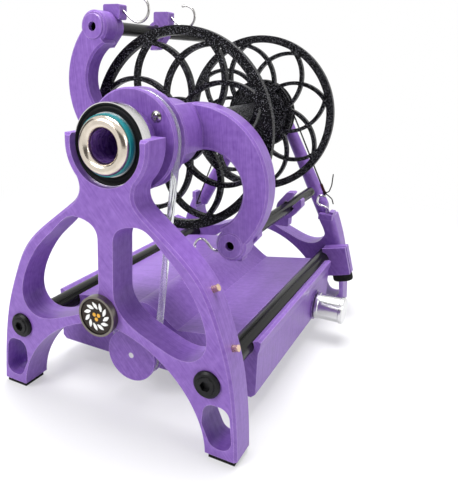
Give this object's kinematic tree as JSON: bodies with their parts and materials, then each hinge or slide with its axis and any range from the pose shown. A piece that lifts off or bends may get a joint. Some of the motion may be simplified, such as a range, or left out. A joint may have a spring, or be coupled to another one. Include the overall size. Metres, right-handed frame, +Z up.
{
  "type": "electric yarn spinner",
  "caption": "Desktop electric spinner for yarn: an open frame carries a motor-driven flyer with sliding hooks around a loose bobbin held by a cord brake.",
  "frame": {"origin": "on the table, under the middle of the machine's whole outline", "axes": "+Y from the orifice at the front to the bobbin brake at the back, +X to the side with the speed knob, +Z up"},
  "size_m": [0.174, 0.2414, 0.2305],
  "materials": {
    "purple_print": "satin, layered",
    "black_print": "speckled gloss",
    "black_rod": "satin carbon fibre",
    "black_bolt": "black oxide",
    "steel": "turned",
    "polished": "polished",
    "seal": "matt",
    "teal": "satin",
    "rubber_pad": "matt",
    "clear_band": "clear, soft",
    "knob_metal": "turned, polished",
    "board": "printed circuit board",
    "cord": "braided",
    "badge": "printed disc under a clear dome"
  },
  "bodies": {
    "stand": {"front_frame": "purple_print", "rear_frame": "purple_print", "front_left_foot_pad": "rubber_pad", "front_right_foot_pad": "rubber_pad", "rear_left_foot_pad": "rubber_pad", "rear_right_foot_pad": "rubber_pad", "base_rod_left": "black_rod", "base_rod_right": "black_rod", "front_rod_bolts": "black_bolt", "rear_rod_bolts": "black_bolt", "rear_bracket_left": "purple_print", "rear_bracket_right": "purple_print", "rear_bumper_left": "rubber_pad", "rear_bumper_right": "rubber_pad", "side_pins": "polished", "medallion_case": "steel", "medallion_face": "badge", "housing_shell": "purple_print", "housing_bottom_plate": "purple_print", "bottom_plate_screws": "black_bolt", "motor": "steel", "drive_band": "clear_band", "control_board": "board", "potentiometer": "steel", "dial_ring": "seal", "power_inlet": "seal", "front_bearing_outer_race": "steel", "front_bearing_shield": "seal", "rear_bearing_outer_race": "steel", "rear_bearing_shield": "seal", "brake_cord": "cord", "brake_hook": "polished"},
    "flyer": {"front_bearing_inner_race": "steel", "rear_bearing_inner_race": "steel", "flyer_pulley": "purple_print", "pulley_screws": "polished", "flyer_arms": "purple_print", "orifice_tube": "purple_print", "orifice_eyelet": "polished", "orifice_collar": "teal", "flyer_shaft": "steel", "flyer_rod_left": "black_rod", "flyer_rod_right": "black_rod"},
    "bobbin": {"bobbin_front_disc": "black_print", "bobbin_rear_disc": "black_print", "bobbin_core": "black_print", "brake_whorl": "black_print"},
    "motor_spindle": {"motor_shaft": "steel", "motor_pulley": "purple_print"},
    "knob": {"control_shaft": "steel", "speed_knob": "knob_metal"},
    "carrier_near_left": {"slider_near_left": "purple_print", "hook_near_left": "polished"},
    "carrier_near_right": {"slider_near_right": "purple_print", "hook_near_right": "polished"},
    "carrier_far_left": {"slider_far_left": "purple_print", "hook_far_left": "polished"},
    "carrier_far_right": {"slider_far_right": "purple_print", "hook_far_right": "polished"}
  },
  "joints": [
    {"name": "flyer_spin", "type": "hinge", "parent": "stand", "child": "flyer", "pos_m": [-0.00496, -0.1093, 0.1542], "axis": [0, 1, 0], "continuous": true},
    {"name": "bobbin_spin", "type": "hinge", "parent": "flyer", "child": "bobbin", "pos_m": [-0.00496, 0.0233, 0.1542], "axis": [0, 1, 0], "continuous": true},
    {"name": "motor_spin", "type": "hinge", "parent": "stand", "child": "motor_spindle", "pos_m": [-0.00496, -0.0875, 0.0286], "axis": [0, 1, 0], "continuous": true},
    {"name": "speed_turn", "type": "hinge", "parent": "stand", "child": "knob", "pos_m": [0.06704, 0.0433, 0.0234], "axis": [1, 0, 0], "range_deg": [-135, 135]},
    {"name": "slide_near_left", "type": "slide", "parent": "flyer", "child": "carrier_near_left", "axis": [0, 1, 0], "range_m": [-0.0003, 0.024]},
    {"name": "slide_far_left", "type": "slide", "parent": "flyer", "child": "carrier_far_left", "axis": [0, 1, 0], "range_m": [-0.022, 0.074]},
    {"name": "slide_near_right", "type": "slide", "parent": "flyer", "child": "carrier_near_right", "axis": [0, 1, 0], "range_m": [-0.0003, 0.036]},
    {"name": "slide_far_right", "type": "slide", "parent": "flyer", "child": "carrier_far_right", "axis": [0, 1, 0], "range_m": [-0.036, 0.048]}
  ],
  "couplings": [
    {"joint": "motor_spin", "follows": "flyer_spin", "ratio": 1.8519}
  ]
}
